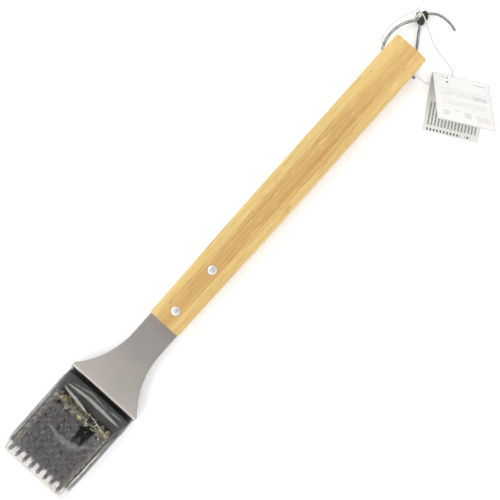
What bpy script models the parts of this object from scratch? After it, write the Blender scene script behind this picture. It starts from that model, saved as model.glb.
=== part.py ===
"""Grill cleaning brush, lying on its back with the bristles up.

A wooden handle holds a stamped steel neck that steps down to a flat plate with a scraper lip. The
bristle block sits on the plate under a clear cover. A leather hang loop and a swing tag hang at the
handle's end. +X runs from the head to the handle's end, +Z is up, and the floor is z = 0.
"""

import math

import bmesh
import bpy
from mathutils import Matrix, Vector

MM = 0.001
GAP = 0.3 * MM  # left between neighbouring pieces

# The whole brush
LENGTH = 454 * MM
FRONT_X = -LENGTH / 2
END_X = LENGTH / 2

# Handle
HANDLE_LENGTH = 289 * MM
HANDLE_THICKNESS = 18 * MM
HANDLE_BOTTOM_Z = 3.6 * MM
HANDLE_EDGE_RADIUS = 3 * MM
HANDLE_END_RADIUS = 1.3 * MM
HANDLE_FRONT_X = END_X - HANDLE_LENGTH
HANDLE_MID_Z = HANDLE_BOTTOM_Z + HANDLE_THICKNESS / 2
HANDLE_TOP_Z = HANDLE_BOTTOM_Z + HANDLE_THICKNESS
# Half of the handle's width, at these shares of its length from the front
HANDLE_HALF_WIDTHS = [
    (0.0, 14.4 * MM),
    (0.1, 14.6 * MM),
    (0.2, 14.9 * MM),
    (0.3, 15.35 * MM),
    (0.45, 15.6 * MM),
    (0.8, 15.65 * MM),
    (0.93, 15.6 * MM),
    (1.0, 15.15 * MM),
]
HANG_HOLE_X = END_X - 13.75 * MM
HANG_HOLE_RADIUS = 3.2 * MM

# Rivets through handle and tang
RIVET_XS = {"handle_rivet_front": -48.2 * MM, "handle_rivet_rear": -5.6 * MM}
RIVET_HEAD_RADIUS = 3.8 * MM
RIVET_SHANK_RADIUS = 2.4 * MM
RIVET_RECESS = 0.6 * MM
RIVET_PROUD = 0.5 * MM

# Steel sheet: tang, neck, flare, step, plate and scraper lip are one stamping
SHEET = 1.5 * MM
BEND_RADIUS = 2.25 * MM  # to the middle of the sheet
NECK_HALF_WIDTH = 14.0 * MM
PLATE_HALF_WIDTH = 33 * MM
FLARE_RADIUS = 72 * MM
FLARE_START_X = -83.4 * MM
STEP_FACE_X = -136.85 * MM  # the step's face towards the block
TANG_END_X = 11.6 * MM
TANG_CORNER = 3 * MM
LIP_CORNER = 5 * MM
PLATE_TOP_Z = SHEET

# Bristle block
BLOCK_FRONT_X = -210.85 * MM
BLOCK_REAR_X = -139.75 * MM
BLOCK_HALF_WIDTH = 31.5 * MM
BLOCK_HEIGHT = 12 * MM
BLOCK_EDGE = 0.8 * MM
BLOCK_BOTTOM_Z = PLATE_TOP_Z + GAP
BLOCK_TOP_Z = BLOCK_BOTTOM_Z + BLOCK_HEIGHT
BLOCK_RIVET_XS = {"block_rivet_front": -194.3 * MM, "block_rivet_rear": -155.4 * MM}
BLOCK_RIVET_HEAD_RADIUS = 4.0 * MM
BLOCK_RIVET_SHANK_RADIUS = 2.0 * MM
BLOCK_RIVET_TOP_Z = 9.5 * MM

# Bristles: rows across the block, each a line of wire tufts on a short rail
ROWS = 9
TUFTS_IN_ROW = 8
ROW_PITCH = 6.49 * MM
TUFT_PITCH = 6.87 * MM
FIRST_ROW_X = -207.15 * MM
TUFT_LENGTH = 20 * MM
TUFT_ROOT_RADIUS = 1.2 * MM
TUFT_TIP_RADIUS = 1.8 * MM
RAIL_HALF_WIDTH = 1.4 * MM
RAIL_DEPTH = 1.9 * MM
TIP_Z = BLOCK_TOP_Z + TUFT_LENGTH

# Clear cover over the block and bristles
FILM = 0.3 * MM
COVER_SKIRT_TOP_Z = 14.4 * MM
COVER_TOP_Z = TIP_Z + 0.6 * MM

# Leather lace, its knot and tail
LACE_RADIUS = 1.35 * MM
LACE_IN_HOLE_Z = HANDLE_MID_Z - 0.6 * MM
KNOT_CENTRE = Vector((255.7, 9.6, 4.3)) * MM
KNOT_HALF_SIZE = Vector((5.2, 5.2, 4.1)) * MM

# Swing tag: a folded card, its fold running from FOLD_START along FOLD_DIRECTION
CARD = 0.35 * MM
LEAF_WIDTH = 46 * MM
LEAF_HEIGHT = 46.8 * MM
FOLD_START = Vector((230.0, -25.2, 1.8)) * MM
FOLD_DIRECTION = Vector((0.479, -0.878, 0)).normalized()
LEAF_FLAT_DIRECTION = Vector((-0.878, -0.479, 0)).normalized()
BACK_LEAF_DROP = 1.4 * MM
BACK_LEAF_SKEW = 3.2 * MM  # both leaves are pulled askew along the fold
FRONT_LEAF_RISE = 23.2 * MM
FRONT_LEAF_REACH = 41.6 * MM
FRONT_LEAF_SKEW = 6.9 * MM
STRING_HOLE_RADIUS = 2.1 * MM
STRING_HOLE_ALONG = 16.5 * MM
STRING_HOLE_DOWN = 6 * MM

# String that holds the tag
STRING_RADIUS = 0.5 * MM
STRING_IN_HOLE_Z = HANDLE_MID_Z + 1.9 * MM

CORD_STEP = 2 * MM  # between the points of a cord's line

# Routes of the cords, in millimetres, from the middle of the hang hole outwards
LACE_LEFT_ROUTE = [
    (213.25, 0.2, 12.0),
    (213.25, 8.0, 12.0),
    (213.25, 13.8, 12.0),
    (213.5, 16.2, 11.9),
    (215.3, 17.7, 11.6),
    (218.6, 18.7, 11.2),
    (227.4, 20.2, 9.2),
    (236.9, 19.2, 6.8),
    (244.3, 16.6, 5.4),
    (250.6, 12.4, 4.6),
]
LACE_RIGHT_ROUTE = [
    (213.25, -0.2, 12.0),
    (213.25, -8.0, 12.0),
    (213.25, -14.0, 12.0),
    (213.3, -16.4, 11.3),
    (213.8, -17.4, 9.2),
    (214.8, -17.3, 6.4),
    (215.9, -16.9, 4.2),
    (217.4, -15.8, 2.4),
    (220.2, -13.6, 1.75),
    (224.6, -10.6, 1.7),
    (229.6, -7.4, 1.7),
    (235.9, -3.2, 1.75),
    (240.2, -0.2, 1.9),
    (245.2, 3.6, 2.4),
    (249.8, 6.6, 3.2),
]
LACE_TAIL_ROUTE = [
    (261.6, 8.2, 4.0),
    (264.4, 5.6, 3.4),
    (266.8, 2.4, 2.8),
    (268.2, -1.2, 2.2),
    (268.9, -5.2, 1.9),
    (268.8, -10.0, 1.7),
    (267.9, -14.0, 1.6),
    (267.0, -17.0, 1.6),
]
STRING_LEFT_ROUTE = [
    (213.25, 0.2, 14.5),
    (213.25, 8.0, 14.5),
    (213.3, 15.2, 14.5),
    (214.4, 18.4, 14.4),
    (218.0, 21.4, 13.4),
    (224.6, 23.4, 11.6),
    (230.8, 24.4, 9.8),
    (236.2, 24.0, 8.8),
    (244.3, 21.9, 8.4),
    (250.4, 19.4, 8.0),
    (254.8, 17.6, 7.4),
    (257.6, 17.0, 6.9),
    (260.4, 17.2, 6.4),
    (265.4, 17.9, 5.2),
    (270.0, 18.6, 4.2),
]
STRING_RIGHT_ROUTE = [
    (213.25, -0.2, 14.5),
    (213.25, -8.0, 14.5),
    (213.3, -15.6, 14.5),
    (214.4, -18.2, 13.6),
    (216.5, -22.2, 9.0),
    (218.6, -26.8, 4.2),
    (221.2, -30.6, 2.9),
    (226.1, -35.6, 3.0),
    (231.0, -41.0, 2.8),
    (232.4, -42.3, 2.0),
    (232.8, -42.6, 1.0),
    (234.6, -41.8, 0.6),
    (239.2, -39.4, 0.6),
    (242.8, -34.0, 0.6),
    (244.6, -25.6, 0.6),
    (246.2, -16.4, 0.6),
    (249.0, -8.8, 0.75),
    (251.6, -3.4, 1.4),
    (253.0, 0.4, 3.0),
    (253.7, 3.0, 5.8),
    (254.3, 5.8, 8.1),
    (255.4, 9.4, 9.4),
    (256.6, 13.0, 8.6),
    (257.5, 15.2, 6.4),
]

MATERIALS = {
    # name: (colour, metallic, roughness, alpha)
    "wood": ((0.72, 0.47, 0.2), 0.0, 0.55, 1.0),
    "steel": ((0.52, 0.48, 0.45), 1.0, 0.38, 1.0),
    "aluminium": ((0.82, 0.82, 0.83), 1.0, 0.35, 1.0),
    "block_plastic": ((0.03, 0.03, 0.032), 0.0, 0.5, 1.0),
    "brass": ((0.55, 0.42, 0.16), 1.0, 0.4, 1.0),
    "clear_film": ((0.9, 0.92, 0.92), 0.0, 0.1, 0.2),
    "lace_leather": ((0.09, 0.07, 0.055), 0.0, 0.5, 1.0),
    "string_thread": ((0.85, 0.85, 0.83), 0.0, 0.8, 1.0),
    "tag_card": ((0.88, 0.88, 0.85), 0.0, 0.7, 1.0),
}


def clear_scene():
    for old in list(bpy.data.objects):
        bpy.data.objects.remove(old, do_unlink=True)


def material(name):
    if name in bpy.data.materials:
        return bpy.data.materials[name]
    colour, metallic, roughness, alpha = MATERIALS[name]
    made = bpy.data.materials.new(name)
    made.use_nodes = True
    shader = made.node_tree.nodes["Principled BSDF"]
    shader.inputs["Base Color"].default_value = (*colour, 1)
    shader.inputs["Metallic"].default_value = metallic
    shader.inputs["Roughness"].default_value = roughness
    shader.inputs["Alpha"].default_value = alpha
    return made


def add_object(name, data, material_name=None):
    made = bpy.data.objects.new(name, data)
    bpy.context.scene.collection.objects.link(made)
    if material_name:
        data.materials.clear()
        data.materials.append(material(material_name))
    return made


def mesh_from(bm, name):
    bmesh.ops.recalc_face_normals(bm, faces=bm.faces)
    mesh = bpy.data.meshes.new(name)
    bm.to_mesh(mesh)
    bm.free()
    return mesh


def loft(name, rings):
    """A closed mesh through rings of equal length, each a loop of points."""
    bm = bmesh.new()
    loops = [[bm.verts.new(point) for point in ring] for ring in rings]
    for low, high in zip(loops, loops[1:]):
        for i in range(len(low)):
            j = (i + 1) % len(low)
            bm.faces.new((low[i], low[j], high[j], high[i]))
    bm.faces.new(loops[0])
    bm.faces.new(loops[-1])
    return mesh_from(bm, name)


def turned(name, profile, segments=24):
    """A solid of revolution about Z through profile's (radius, height) points."""
    angles = [2 * math.pi * i / segments for i in range(segments)]
    rings = [[(r * math.cos(a), r * math.sin(a), z) for a in angles] for r, z in profile]
    return loft(name, rings)


def add_boxes(bm, boxes):
    for low, high in boxes:
        size = [b - a for a, b in zip(low, high)]
        middle = [(a + b) / 2 for a, b in zip(low, high)]
        place = Matrix.Translation(middle) @ Matrix.Diagonal((*size, 1))
        bmesh.ops.create_cube(bm, size=1, matrix=place)


def boxes_mesh(name, boxes):
    bm = bmesh.new()
    add_boxes(bm, boxes)
    return mesh_from(bm, name)


def cutter(name, mesh):
    made = add_object(name, mesh)
    made.hide_render = True
    made.display_type = "WIRE"
    return made


def cut(target, tool, operation="DIFFERENCE"):
    step = target.modifiers.new(tool.name, "BOOLEAN")
    step.operation = operation
    step.solver = "EXACT"
    step.object = tool


def between(table, share):
    """The value at share in a table of (share, value) steps, straight between them."""
    for (a, low), (b, high) in zip(table, table[1:]):
        if share <= b:
            t = (share - a) / (b - a)
            return low + (high - low) * t
    return table[-1][1]


def rounded_section(x, half_width, half_height, radius, middle_z):
    """A rounded rectangle across X, four points to each corner."""
    points = []
    for corner in range(4):
        start = corner * math.pi / 2
        sy = 1 if corner in (0, 3) else -1
        sz = 1 if corner in (0, 1) else -1
        cy = sy * (half_width - radius)
        cz = middle_z + sz * (half_height - radius)
        for step in range(4):
            a = start + step * math.pi / 6
            points.append((x, cy + radius * math.cos(a), cz + radius * math.sin(a)))
    return points


def make_handle():
    stations = [(0.0, HANDLE_END_RADIUS), (HANDLE_END_RADIUS * 0.3, HANDLE_END_RADIUS * 0.3)]
    stations += [(HANDLE_END_RADIUS, 0.0)]
    inner = [(HANDLE_LENGTH * i / 16, 0.0) for i in range(1, 16)]
    far = [(HANDLE_LENGTH - along, inset) for along, inset in reversed(stations)]
    rings = []
    for along, inset in stations + inner + far:
        half_width = between(HANDLE_HALF_WIDTHS, along / HANDLE_LENGTH) - inset
        half_height = HANDLE_THICKNESS / 2 - inset
        x = HANDLE_FRONT_X + along
        rings.append(
            rounded_section(x, half_width, half_height, HANDLE_EDGE_RADIUS - inset, HANDLE_MID_Z)
        )
    handle = add_object("handle", loft("handle", rings), "wood")

    kerf_half = SHEET / 2 + GAP
    kerf = boxes_mesh(
        "kerf",
        [
            (
                (HANDLE_FRONT_X - 5 * MM, -20 * MM, HANDLE_MID_Z - kerf_half),
                (TANG_END_X + GAP, 20 * MM, HANDLE_MID_Z + kerf_half),
            )
        ],
    )
    cut(handle, cutter("handle_kerf_cutter", kerf))

    shank = RIVET_SHANK_RADIUS + GAP
    head = RIVET_HEAD_RADIUS + GAP
    beyond = 3 * MM
    profile = [
        (head, HANDLE_BOTTOM_Z - beyond),
        (head, HANDLE_BOTTOM_Z + RIVET_RECESS),
        (shank, HANDLE_BOTTOM_Z + RIVET_RECESS),
        (shank, HANDLE_TOP_Z - RIVET_RECESS),
        (head, HANDLE_TOP_Z - RIVET_RECESS),
        (head, HANDLE_TOP_Z + beyond),
    ]
    for name, x in RIVET_XS.items():
        tool = cutter(name + "_hole_cutter", turned(name + "_hole", profile))
        tool.location.x = x
        cut(handle, tool)

    reach = 25 * MM
    hole = cutter(
        "hang_hole_cutter",
        turned("hang_hole", [(HANG_HOLE_RADIUS, -reach), (HANG_HOLE_RADIUS, reach)]),
    )
    hole.location = (HANG_HOLE_X, 0, HANDLE_MID_Z)
    hole.rotation_euler.x = math.pi / 2
    cut(handle, hole)


def make_handle_rivets():
    low_face = HANDLE_BOTTOM_Z + RIVET_RECESS - GAP
    high_face = HANDLE_TOP_Z - RIVET_RECESS + GAP
    top = HANDLE_TOP_Z + RIVET_PROUD
    bottom = HANDLE_BOTTOM_Z - RIVET_PROUD
    edge = RIVET_HEAD_RADIUS * 0.75
    profile = [
        (edge, bottom),
        (RIVET_HEAD_RADIUS, bottom + RIVET_PROUD * 0.8),
        (RIVET_HEAD_RADIUS, low_face),
        (RIVET_SHANK_RADIUS, low_face),
        (RIVET_SHANK_RADIUS, high_face),
        (RIVET_HEAD_RADIUS, high_face),
        (RIVET_HEAD_RADIUS, top - RIVET_PROUD * 0.8),
        (edge, top),
    ]
    for name, x in RIVET_XS.items():
        add_object(name, turned(name, profile), "aluminium").location.x = x


def sheet_path():
    """(x, z, normal x, normal z, half width) along the sheet's middle, from tang to lip."""
    steps = []
    for k in range(4):
        a = k * math.pi / 6
        half_width = NECK_HALF_WIDTH - TANG_CORNER * (1 - math.sin(a))
        steps.append((TANG_END_X - TANG_CORNER * (1 - math.cos(a)), half_width))
    flare_end = math.sqrt(
        FLARE_RADIUS**2 - (FLARE_RADIUS - PLATE_HALF_WIDTH + NECK_HALF_WIDTH) ** 2
    )
    for k in range(17):
        along = flare_end * k / 16
        half_width = NECK_HALF_WIDTH + FLARE_RADIUS - math.sqrt(FLARE_RADIUS**2 - along**2)
        steps.append((FLARE_START_X - along, half_width))
    path = [(x, HANDLE_MID_Z, 0.0, 1.0, half_width) for x, half_width in steps]

    riser_x = STEP_FACE_X + SHEET / 2
    plate_z = SHEET / 2
    for k in range(7):
        a = k * math.pi / 12
        x = riser_x + BEND_RADIUS * (1 - math.sin(a))
        z = HANDLE_MID_Z - BEND_RADIUS * (1 - math.cos(a))
        path.append((x, z, -math.sin(a), math.cos(a), PLATE_HALF_WIDTH))
    for k in range(7):
        a = k * math.pi / 12
        x = riser_x - BEND_RADIUS * (1 - math.cos(a))
        z = plate_z + BEND_RADIUS * (1 - math.sin(a))
        path.append((x, z, -math.cos(a), math.sin(a), PLATE_HALF_WIDTH))
    for k in range(5):
        a = k * math.pi / 8
        half_width = PLATE_HALF_WIDTH - LIP_CORNER * (1 - math.cos(a))
        x = FRONT_X + LIP_CORNER * (1 - math.sin(a))
        path.append((x, plate_z, 0.0, 1.0, half_width))
    return path


def make_head_plate():
    rings = []
    for x, z, nx, nz, half_width in sheet_path():
        dx, dz = nx * SHEET / 2, nz * SHEET / 2
        rings.append(
            [
                (x + dx, -half_width, z + dz),
                (x + dx, half_width, z + dz),
                (x - dx, half_width, z - dz),
                (x - dx, -half_width, z - dz),
            ]
        )
    plate = add_object("head_plate", loft("head_plate", rings), "steel")
    radius = RIVET_SHANK_RADIUS + GAP
    low, high = HANDLE_MID_Z - 2 * SHEET, HANDLE_MID_Z + 2 * SHEET
    for name, x in RIVET_XS.items():
        tool = cutter(name + "_tang_cutter", turned(name + "_tang", [(radius, low), (radius, high)]))
        tool.location.x = x
        cut(plate, tool)
    # Countersunk from below, so the rivet heads end flush with the plate's underside
    head = BLOCK_RIVET_HEAD_RADIUS + GAP
    shank = BLOCK_RIVET_SHANK_RADIUS + GAP
    sunk = [(head + SHEET, -SHEET), (head, 0.0), (shank, SHEET * 0.8), (shank, 3 * SHEET)]
    for name, x in BLOCK_RIVET_XS.items():
        tool = cutter(name + "_plate_cutter", turned(name + "_plate", sunk))
        tool.location.x = x
        cut(plate, tool)


def make_block_rivets():
    profile = [
        (BLOCK_RIVET_HEAD_RADIUS, 0.1 * MM),
        (BLOCK_RIVET_SHANK_RADIUS, SHEET * 0.8),
        (BLOCK_RIVET_SHANK_RADIUS, BLOCK_RIVET_TOP_Z),
    ]
    for name, x in BLOCK_RIVET_XS.items():
        add_object(name, turned(name, profile), "aluminium").location.x = x


def row_x(row):
    return FIRST_ROW_X + row * ROW_PITCH


def make_block():
    low = (BLOCK_FRONT_X, -BLOCK_HALF_WIDTH, BLOCK_BOTTOM_Z)
    high = (BLOCK_REAR_X, BLOCK_HALF_WIDTH, BLOCK_TOP_Z)
    block = add_object("brush_block", boxes_mesh("brush_block", [(low, high)]), "block_plastic")
    edge = block.modifiers.new("soft_edges", "BEVEL")
    edge.width = BLOCK_EDGE
    edge.segments = 2

    half_row = (TUFTS_IN_ROW - 1) * TUFT_PITCH / 2 + RAIL_HALF_WIDTH + GAP
    half_groove = RAIL_HALF_WIDTH + GAP
    floor_z = BLOCK_TOP_Z - RAIL_DEPTH - GAP
    grooves = [
        ((row_x(row) - half_groove, -half_row, floor_z), (row_x(row) + half_groove, half_row, TIP_Z))
        for row in range(ROWS)
    ]
    cut(block, cutter("groove_cutter", boxes_mesh("grooves", grooves)))
    radius = BLOCK_RIVET_SHANK_RADIUS + GAP
    top_z = BLOCK_RIVET_TOP_Z + GAP
    for name, x in BLOCK_RIVET_XS.items():
        tool = cutter(name + "_block_cutter", turned(name + "_block", [(radius, 0.0), (radius, top_z)]))
        tool.location.x = x
        cut(block, tool)


def bristle_row_mesh():
    """One rail with its tufts, joined to one closed body, at x = 0."""
    half_row = (TUFTS_IN_ROW - 1) * TUFT_PITCH / 2 + RAIL_HALF_WIDTH
    low = (-RAIL_HALF_WIDTH, -half_row, BLOCK_TOP_Z - RAIL_DEPTH)
    high = (RAIL_HALF_WIDTH, half_row, BLOCK_TOP_Z)
    rail = add_object("rail_maker", boxes_mesh("rail", [(low, high)]))
    bm = bmesh.new()
    sunk = RAIL_DEPTH / 2
    sides = 10
    for i in range(TUFTS_IN_ROW):
        y = (i - (TUFTS_IN_ROW - 1) / 2) * TUFT_PITCH
        middle_z = BLOCK_TOP_Z + (TUFT_LENGTH - sunk) / 2
        bmesh.ops.create_cone(
            bm,
            cap_ends=True,
            segments=sides,
            radius1=TUFT_ROOT_RADIUS,
            radius2=TUFT_TIP_RADIUS,
            depth=TUFT_LENGTH + sunk,
            matrix=Matrix.Translation((0, y, middle_z)),
        )
    tufts = cutter("tufts_maker", mesh_from(bm, "tufts"))
    cut(rail, tufts, "UNION")
    bpy.context.view_layer.update()
    graph = bpy.context.evaluated_depsgraph_get()
    joined = bpy.data.meshes.new_from_object(rail.evaluated_get(graph))
    joined.name = "bristle_row"
    for helper in (rail, tufts):
        bpy.data.objects.remove(helper, do_unlink=True)
    return joined


def make_bristles():
    mesh = bristle_row_mesh()
    for row in range(ROWS):
        made = add_object(f"bristle_row_{row + 1}", mesh, "brass")
        made.location.x = row_x(row)


def make_cover():
    """A thin clear cap: a skirt round the block, then walls that lean in to the bristle tips."""
    skirt_front = BLOCK_FRONT_X - 0.8 * MM
    skirt_rear = BLOCK_REAR_X + 0.7 * MM
    skirt_half = BLOCK_HALF_WIDTH + 0.8 * MM
    tip = TUFT_TIP_RADIUS + 0.7 * MM
    top_front = row_x(0) - tip
    top_rear = row_x(ROWS - 1) + tip
    top_half = (TUFTS_IN_ROW - 1) * TUFT_PITCH / 2 + tip
    bm = bmesh.new()
    loops = []
    for x0, x1, half, z in (
        (skirt_front, skirt_rear, skirt_half, PLATE_TOP_Z + GAP),
        (skirt_front, skirt_rear, skirt_half, COVER_SKIRT_TOP_Z),
        (top_front, top_rear, top_half, COVER_TOP_Z),
    ):
        corners = [(x0, -half, z), (x1, -half, z), (x1, half, z), (x0, half, z)]
        loops.append([bm.verts.new(corner) for corner in corners])
    for low, high in zip(loops, loops[1:]):
        for i in range(4):
            j = (i + 1) % 4
            bm.faces.new((low[i], low[j], high[j], high[i]))
    bm.faces.new(loops[-1])
    cover = add_object("clear_cover", mesh_from(bm, "clear_cover"), "clear_film")
    wall = cover.modifiers.new("film", "SOLIDIFY")
    wall.thickness = FILM
    wall.offset = -1
    wall.use_even_offset = True


def smooth_points(route, spacing):
    """Points about spacing apart on a smooth curve through route, by Catmull-Rom."""
    knots = [Vector(point) * MM for point in route]
    knots = [2 * knots[0] - knots[1]] + knots + [2 * knots[-1] - knots[-2]]
    fine = []
    for p0, p1, p2, p3 in zip(knots, knots[1:], knots[2:], knots[3:]):
        for step in range(20):
            t = step / 20
            a = 2 * p1 + (p2 - p0) * t
            b = (2 * p0 - 5 * p1 + 4 * p2 - p3) * t * t
            c = (3 * p1 - p0 - 3 * p2 + p3) * t**3
            fine.append((a + b + c) / 2)
    fine.append(knots[-2])
    kept = [fine[0]]
    for point in fine[1:-1]:
        if (point - kept[-1]).length >= spacing:
            kept.append(point)
    if (fine[-1] - kept[-1]).length < spacing / 2:
        kept.pop()
    return kept + [fine[-1]]


def make_cord(name, route, radius, material_name):
    points = smooth_points(route, CORD_STEP)
    curve = bpy.data.curves.new(name, "CURVE")
    curve.dimensions = "3D"
    curve.bevel_depth = radius
    curve.bevel_resolution = 2
    curve.use_fill_caps = True
    line = curve.splines.new("POLY")
    line.points.add(len(points) - 1)
    for place, point in zip(line.points, points):
        place.co = (*point, 1)
    add_object(name, curve, material_name)


def make_knot():
    bm = bmesh.new()
    bmesh.ops.create_uvsphere(bm, u_segments=14, v_segments=9, radius=1)
    bmesh.ops.scale(bm, vec=KNOT_HALF_SIZE, verts=bm.verts)
    knot = add_object("lace_knot", mesh_from(bm, "lace_knot"), "lace_leather")
    knot.location = KNOT_CENTRE


def leaf_mesh(name, along, down, thickness):
    """A thin parallelogram from the fold's start: along the fold, and down the leaf."""
    up = along.cross(down).normalized()
    if up.z < 0:
        up = -up
    corners = [Vector(), along, along + down, down]
    low = [tuple(corner) for corner in corners]
    high = [tuple(corner + up * thickness) for corner in corners]
    return loft(name, [low, high])


def make_tag():
    """Both leaves have their origin at the fold's start, which the fold hinge runs through."""
    along = FOLD_DIRECTION * LEAF_WIDTH
    drop = Vector((0, 0, -BACK_LEAF_DROP))
    down = LEAF_FLAT_DIRECTION * LEAF_HEIGHT + FOLD_DIRECTION * BACK_LEAF_SKEW + drop
    start_low = LEAF_FLAT_DIRECTION * GAP - Vector((0, 0, CARD))
    back_mesh = leaf_mesh("tag_back", along, down, CARD)
    back_mesh.transform(Matrix.Translation(start_low))
    back = add_object("tag_back", back_mesh, "tag_card")
    back.location = FOLD_START
    tool = cutter(
        "string_hole_cutter",
        turned("string_hole", [(STRING_HOLE_RADIUS, -4 * MM), (STRING_HOLE_RADIUS, 4 * MM)], 12),
    )
    tool.location = (
        FOLD_START + FOLD_DIRECTION * STRING_HOLE_ALONG + LEAF_FLAT_DIRECTION * STRING_HOLE_DOWN
    )
    cut(back, tool)

    lift = Vector((0, 0, FRONT_LEAF_RISE))
    skew = FOLD_DIRECTION * FRONT_LEAF_SKEW
    down = LEAF_FLAT_DIRECTION * FRONT_LEAF_REACH + skew + lift
    front_mesh = leaf_mesh("tag_front", along, down, CARD)
    front_mesh.transform(Matrix.Translation((0, 0, GAP)))
    front = add_object("tag_front", front_mesh, "tag_card")
    front.location = FOLD_START


def main():
    clear_scene()
    make_handle()
    make_head_plate()
    make_handle_rivets()
    make_block()
    make_block_rivets()
    make_bristles()
    make_cover()
    make_cord("lace_left", LACE_LEFT_ROUTE, LACE_RADIUS, "lace_leather")
    make_cord("lace_right", LACE_RIGHT_ROUTE, LACE_RADIUS, "lace_leather")
    make_cord("lace_tail", LACE_TAIL_ROUTE, LACE_RADIUS, "lace_leather")
    make_knot()
    make_cord("string_left", STRING_LEFT_ROUTE, STRING_RADIUS, "string_thread")
    make_cord("string_right", STRING_RIGHT_ROUTE, STRING_RADIUS, "string_thread")
    make_tag()


main()
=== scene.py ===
"""Looks of the grill cleaning brush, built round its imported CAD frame.

Frame: metres, +X from the head to the handle's end, +Z up, the floor at z = 0. The brush lies on its
back with the bristles up, and the camera looks straight down on it.
"""

import math
import random

import bmesh
import bpy
import numpy as np
from mathutils import Matrix, Vector, noise


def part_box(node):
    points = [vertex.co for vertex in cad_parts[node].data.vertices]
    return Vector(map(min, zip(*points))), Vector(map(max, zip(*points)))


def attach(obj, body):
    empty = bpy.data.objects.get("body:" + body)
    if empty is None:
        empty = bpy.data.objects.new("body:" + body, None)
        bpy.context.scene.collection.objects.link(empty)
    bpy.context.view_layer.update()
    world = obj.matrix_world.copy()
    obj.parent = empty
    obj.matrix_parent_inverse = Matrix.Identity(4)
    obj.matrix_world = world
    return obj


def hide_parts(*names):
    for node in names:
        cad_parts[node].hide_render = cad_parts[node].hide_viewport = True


MM = 0.001

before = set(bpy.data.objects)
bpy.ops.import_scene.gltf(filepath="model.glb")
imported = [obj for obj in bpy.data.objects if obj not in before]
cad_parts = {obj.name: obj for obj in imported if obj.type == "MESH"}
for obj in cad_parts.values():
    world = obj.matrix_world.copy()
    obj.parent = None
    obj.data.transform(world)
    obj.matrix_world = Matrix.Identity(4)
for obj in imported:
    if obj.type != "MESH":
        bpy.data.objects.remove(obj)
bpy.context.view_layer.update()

# ---- camera, light and floor

CAMERA_PLACE = (0.02545, -0.0114, 0.52)
CAMERA_TURN = -48.2  # degrees about Z
LENS = 46.4
FLOOR_HALF = 3
DARK_CEILING = Vector((0.09, 0, 1)).normalized()  # toward the darker patch of ceiling


def in_scene(name, data):
    """A new object of data, put into the scene."""
    made = bpy.data.objects.new(name, data)
    bpy.context.scene.collection.objects.link(made)
    return made


def set_camera():
    camera = in_scene("camera", bpy.data.cameras.new("camera"))
    camera.data.lens = LENS
    camera.data.sensor_width = 36
    camera.data.clip_start = 0.01
    camera.data.clip_end = 20
    camera.location = CAMERA_PLACE
    camera.rotation_euler = (0, 0, math.radians(CAMERA_TURN))
    bpy.context.scene.camera = camera


def add_softbox(name, place, target, size, power):
    light = bpy.data.lights.new(name, "AREA")
    light.shape = "RECTANGLE"
    light.size, light.size_y = size
    light.energy = power
    lamp = in_scene(name, light)
    lamp.location = place
    lamp.rotation_euler = (Vector(place) - Vector(target)).to_track_quat("Z", "Y").to_euler()


def set_world():
    """A bright room with a darker patch of ceiling over the handle, which the flat steel mirrors."""
    world = bpy.data.worlds.new("studio")
    world.use_nodes = True
    tree = world.node_tree
    where = tree.nodes.new("ShaderNodeTexCoord")
    toward = tree.nodes.new("ShaderNodeVectorMath")
    toward.operation = "DOT_PRODUCT"
    toward.inputs[1].default_value = DARK_CEILING
    tree.links.new(where.outputs["Generated"], toward.inputs[0])
    level = tree.nodes.new("ShaderNodeMapRange")
    level.interpolation_type = "SMOOTHSTEP"
    for key, value in {"From Min": 0.87, "From Max": 0.97, "To Min": 1.5, "To Max": 0.1}.items():
        level.inputs[key].default_value = value
    tree.links.new(toward.outputs["Value"], level.inputs["Value"])
    tree.links.new(level.outputs["Result"], tree.nodes["Background"].inputs["Strength"])
    bpy.context.scene.world = world
    tree.nodes["Background"].inputs["Color"].default_value = (1, 1, 1, 1)
    bpy.context.scene.view_settings.view_transform = "Standard"


# ---- materials


def srgb(*levels):
    """A linear colour from one given in 0 to 255 as it looks."""
    shares = [level / 255 for level in levels]
    return tuple(s / 12.92 if s <= 0.04 else ((s + 0.055) / 1.055) ** 2.4 for s in shares)


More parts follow.
